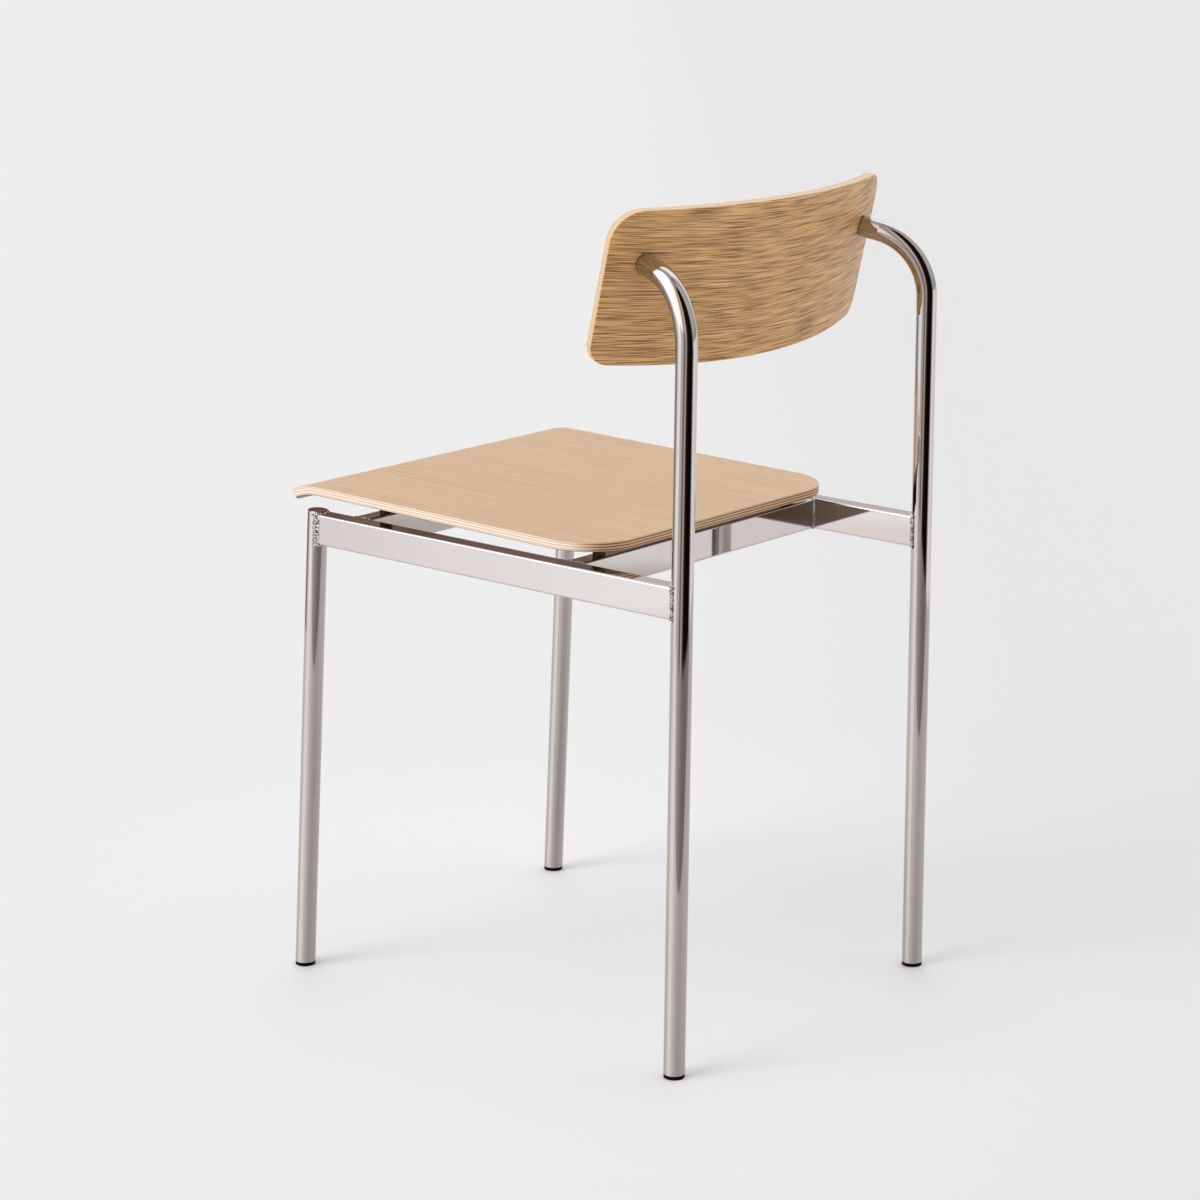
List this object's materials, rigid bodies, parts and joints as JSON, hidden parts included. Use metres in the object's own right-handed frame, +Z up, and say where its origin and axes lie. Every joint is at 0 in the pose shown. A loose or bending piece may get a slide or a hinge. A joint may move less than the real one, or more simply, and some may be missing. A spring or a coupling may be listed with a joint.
{
  "type": "stacking chair",
  "caption": "Stacking chair with a tubular chromed steel frame, a thin flat plywood seat with a rolled front edge and a curved plywood backrest held by the bent ends of the rear posts.",
  "frame": {"origin": "on the floor, at the centre of the whole chair's outline seen from above", "axes": "+X to the sitter's left, +Y to the rear, +Z up; the chair faces -Y"},
  "size_m": [0.403, 0.4989, 0.786],
  "materials": {
    "chrome": "polished chrome plate on steel tube",
    "weld_steel": "weld bead, plated over, rough",
    "seat_plywood": "light oak veneer, clear matt lacquer",
    "back_plywood": "oak veneer, clear matt lacquer",
    "black_plastic": "moulded, fine matt",
    "dark_rubber": "moulded, matt",
    "zinc_steel": "zinc plated"
  },
  "bodies": {
    "root": {"front_leg_left": "chrome", "front_leg_right": "chrome", "rear_post_left": "chrome", "rear_post_right": "chrome", "side_rail_left": "chrome", "side_rail_right": "chrome", "front_crossbar": "chrome", "rear_crossbar": "chrome", "leg_cap_left": "chrome", "leg_cap_right": "chrome", "weld_leg_left": "weld_steel", "weld_leg_right": "weld_steel", "weld_post_left": "weld_steel", "weld_post_right": "weld_steel", "weld_front_bar_left": "weld_steel", "weld_front_bar_right": "weld_steel", "weld_rear_bar_left": "weld_steel", "weld_rear_bar_right": "weld_steel", "seat_panel": "seat_plywood", "backrest_panel": "back_plywood", "foot_front_left": "black_plastic", "foot_front_right": "black_plastic", "foot_rear_left": "black_plastic", "foot_rear_right": "black_plastic", "spacer_front_left": "dark_rubber", "spacer_front_right": "dark_rubber", "spacer_rear_left": "dark_rubber", "spacer_rear_right": "dark_rubber", "backrest_gasket_left": "dark_rubber", "backrest_gasket_right": "dark_rubber", "seat_screws_front": "zinc_steel", "seat_screws_rear": "zinc_steel", "seat_inserts": "zinc_steel", "backrest_plug_left": "zinc_steel", "backrest_plug_right": "zinc_steel", "backrest_screws": "zinc_steel"}
  },
  "joints": []
}
